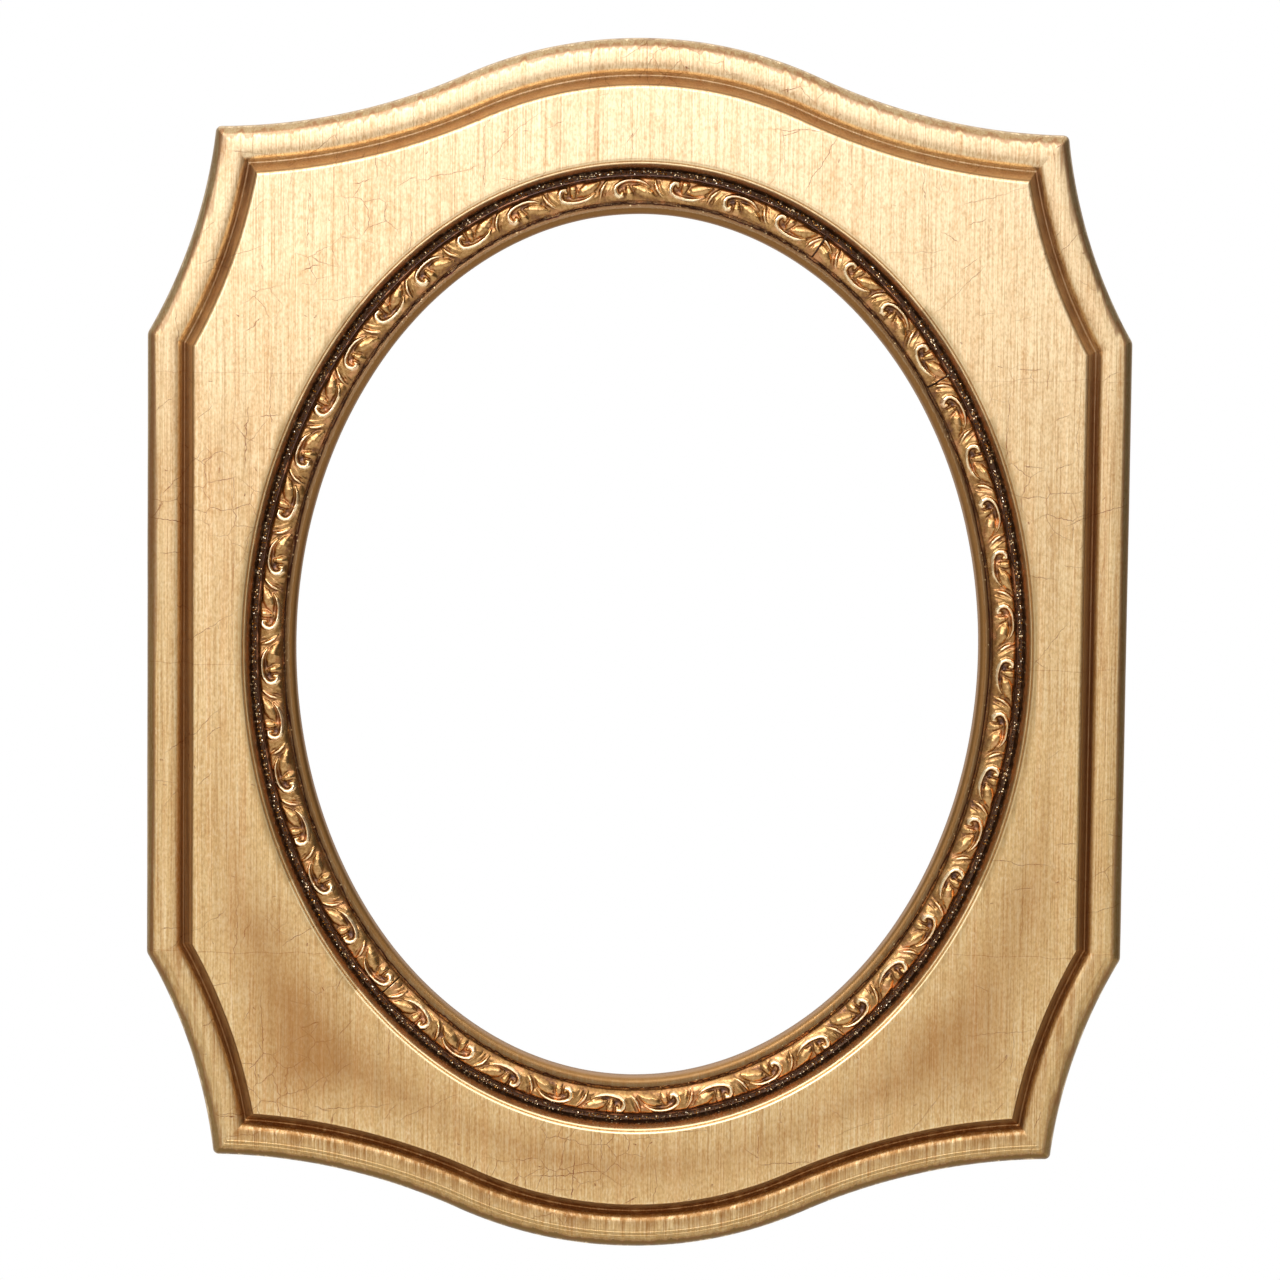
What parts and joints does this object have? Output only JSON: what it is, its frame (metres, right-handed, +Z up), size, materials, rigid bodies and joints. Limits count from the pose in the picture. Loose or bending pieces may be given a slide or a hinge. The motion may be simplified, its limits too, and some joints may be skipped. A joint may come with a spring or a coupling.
{
  "type": "oval picture frame",
  "caption": "Upright wall frame of carved, gilded wood with an oval opening, a pressed ornament round it, a rebate with turn buttons behind it, and a hang ring.",
  "frame": {"origin": "the hang point: the inside top of the hang ring, where a wall hook bears", "axes": "+Z up as hung, +X to the right seen from the front, +Y backwards to the wall, the front faces -Y"},
  "size_m": [0.273, 0.0251, 0.338],
  "materials": {
    "wood": "bare, aged",
    "dowel": "bare",
    "gilding": "leaf on gesso, rubbed and toned",
    "ornament": "burnished leaf with dark recesses",
    "button": "stamped, dulled",
    "screw": "plain, dulled",
    "hanger": "plated, dulled",
    "felt": "pressed felt"
  },
  "bodies": {
    "frame": {"left_stile": "wood", "right_stile": "wood", "top_rail": "wood", "bottom_rail": "wood", "upper_left_dowels": "dowel", "upper_right_dowels": "dowel", "lower_left_dowels": "dowel", "lower_right_dowels": "dowel", "gesso_coat": "gilding", "ornament_strip_left": "ornament", "ornament_strip_right": "ornament", "ornament_filler": "ornament", "button_screws": "screw", "hanger_strap": "hanger", "hanger_screw": "screw", "left_bumper": "felt", "right_bumper": "felt"},
    "hang_ring": {"hang_ring": "hanger"},
    "turn_button_upper_left": {"turn_button_upper_left": "button"},
    "turn_button_upper_right": {"turn_button_upper_right": "button"},
    "turn_button_lower_left": {"turn_button_lower_left": "button"},
    "turn_button_lower_right": {"turn_button_lower_right": "button"}
  },
  "joints": [
    {"name": "ring_swing", "type": "hinge", "parent": "frame", "child": "hang_ring", "pos_m": [0, 0.00069, -0.01198], "axis": [-1, 0, 0], "range_deg": [0, 164]},
    {"name": "upper_left_button_turn", "type": "hinge", "parent": "frame", "child": "turn_button_upper_left", "pos_m": [-0.1089, -0.00076, -0.113], "axis": [0, 1, 0], "continuous": true},
    {"name": "upper_right_button_turn", "type": "hinge", "parent": "frame", "child": "turn_button_upper_right", "pos_m": [0.1089, -0.00076, -0.113], "axis": [0, 1, 0], "continuous": true},
    {"name": "lower_left_button_turn", "type": "hinge", "parent": "frame", "child": "turn_button_lower_left", "pos_m": [-0.1089, -0.00076, -0.203], "axis": [0, 1, 0], "continuous": true},
    {"name": "lower_right_button_turn", "type": "hinge", "parent": "frame", "child": "turn_button_lower_right", "pos_m": [0.1089, -0.00076, -0.203], "axis": [0, 1, 0], "continuous": true}
  ]
}
